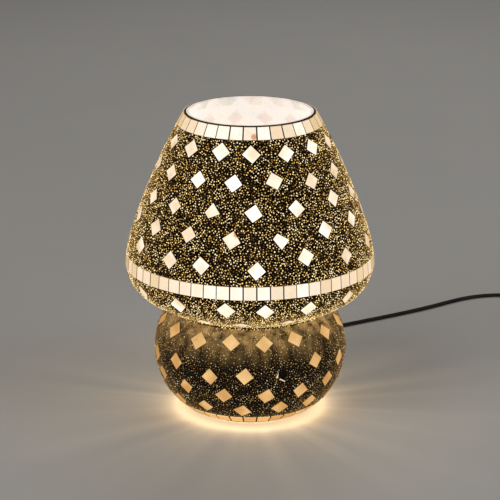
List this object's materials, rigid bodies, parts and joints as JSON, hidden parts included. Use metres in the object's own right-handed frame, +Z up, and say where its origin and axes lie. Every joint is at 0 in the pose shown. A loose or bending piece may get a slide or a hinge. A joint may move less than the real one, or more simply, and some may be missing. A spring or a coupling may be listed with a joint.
{
  "type": "mosaic glass table lamp",
  "caption": "Mushroom-shaped blown glass table lamp with a beaded grout skin, square and diamond glass tiles, a screw-in bulb, flex, inline rocker switch and two-pin plug.",
  "frame": {"origin": "centre of the round foot, on the table", "axes": "+Z up along the lamp's axis, -Y is the front, +X to the right; the flex leaves the glass at the back (+Y) and runs to the right"},
  "size_m": [0.3844, 0.3852, 0.2484],
  "materials": {
    "clear_glass": "blown glass, frosted inside, warm white",
    "black_grout": "black grout set with fine clear and gold glass beads",
    "rim_black": "thin black sealing bead, smooth",
    "tile_glass": "cream stained glass, slightly mottled",
    "globe_tile_glass": "amber-cream stained glass, slightly mottled",
    "silicone": "clear soft silicone",
    "zinc_steel": "zinc plated",
    "brass": "turned and rolled brass",
    "black_plastic": "fine moulded grain",
    "switch_plastic": "moulded, satin",
    "rocker_plastic": "moulded, polished",
    "porcelain": "white glaze",
    "bulb_glass": "clear thin glass",
    "bulb_metal": "rolled, bright",
    "bulb_black_glass": "black vitrite",
    "filament": "yellow phosphor sticks",
    "cord_pvc": "soft black flex",
    "wire_pvc": "insulated core",
    "nickel": "nickel plated",
    "rubber_black": "matt"
  },
  "bodies": {
    "lamp": {"glass_body": "clear_glass", "shade_grout": "black_grout", "globe_grout": "black_grout", "rim_cap": "rim_black", "top_band_tiles": "tile_glass", "middle_band_tiles": "tile_glass", "foot_band_tiles": "globe_tile_glass", "shade_diamond_tiles": "tile_glass", "skirt_diamond_tiles": "tile_glass", "globe_diamond_tiles": "globe_tile_glass", "foot_ring": "silicone", "bridge_pads": "silicone", "base_bridge": "zinc_steel", "stem_tube": "zinc_steel", "stem_washers": "zinc_steel", "stem_nuts": "zinc_steel", "holder_cap": "black_plastic", "holder_skirt": "black_plastic", "holder_insert": "porcelain", "screw_shell": "brass", "centre_contact": "brass", "terminal_screws": "brass", "grub_screw": "zinc_steel", "holder_wires": "wire_pvc", "lamp_cord": "cord_pvc", "plug_cord": "cord_pvc", "cord_grommet": "rubber_black", "switch_base": "switch_plastic", "switch_cover": "switch_plastic", "common_contact": "brass", "fixed_contact": "brass", "switch_terminals": "brass", "switch_screws": "zinc_steel", "switch_wires": "wire_pvc", "plug_body": "black_plastic", "plug_strain_relief": "black_plastic", "plug_pins": "nickel", "pin_sleeves": "black_plastic"},
    "bulb_pellet": {"bulb_foot_contact": "bulb_metal"},
    "bulb": {"bulb_envelope": "bulb_glass", "bulb_screw_cap": "bulb_metal", "bulb_insulator": "bulb_black_glass", "bulb_stem": "bulb_glass", "bulb_filaments": "filament"},
    "rocker": {"rocker_button": "rocker_plastic", "rocker_plunger": "brass"},
    "contact_blade": {"moving_contact": "brass"}
  },
  "joints": [
    {"name": "bulb_lift", "type": "slide", "parent": "lamp", "child": "bulb_pellet", "axis": [0, 0, 1], "range_m": [0, 0.0182]},
    {"name": "bulb_turn", "type": "hinge", "parent": "bulb_pellet", "child": "bulb", "pos_m": [0, 0, 0.1], "axis": [0, 0, 1], "range_deg": [0, 1800]},
    {"name": "switch_rocker", "type": "hinge", "parent": "lamp", "child": "rocker", "pos_m": [0.266, 0.205, 0.014], "axis": [1, 0, 0], "range_deg": [-18, 0]},
    {"name": "contact_tilt", "type": "hinge", "parent": "lamp", "child": "contact_blade", "pos_m": [0.266, 0.205, 0.0066], "axis": [1, 0, 0], "range_deg": [0, 12.1]}
  ],
  "couplings": [
    {"joint": "bulb_lift", "follows": "bulb_turn", "m_per_rad": 0.00057757},
    {"joint": "contact_tilt", "follows": "switch_rocker", "ratio": -0.66667}
  ]
}
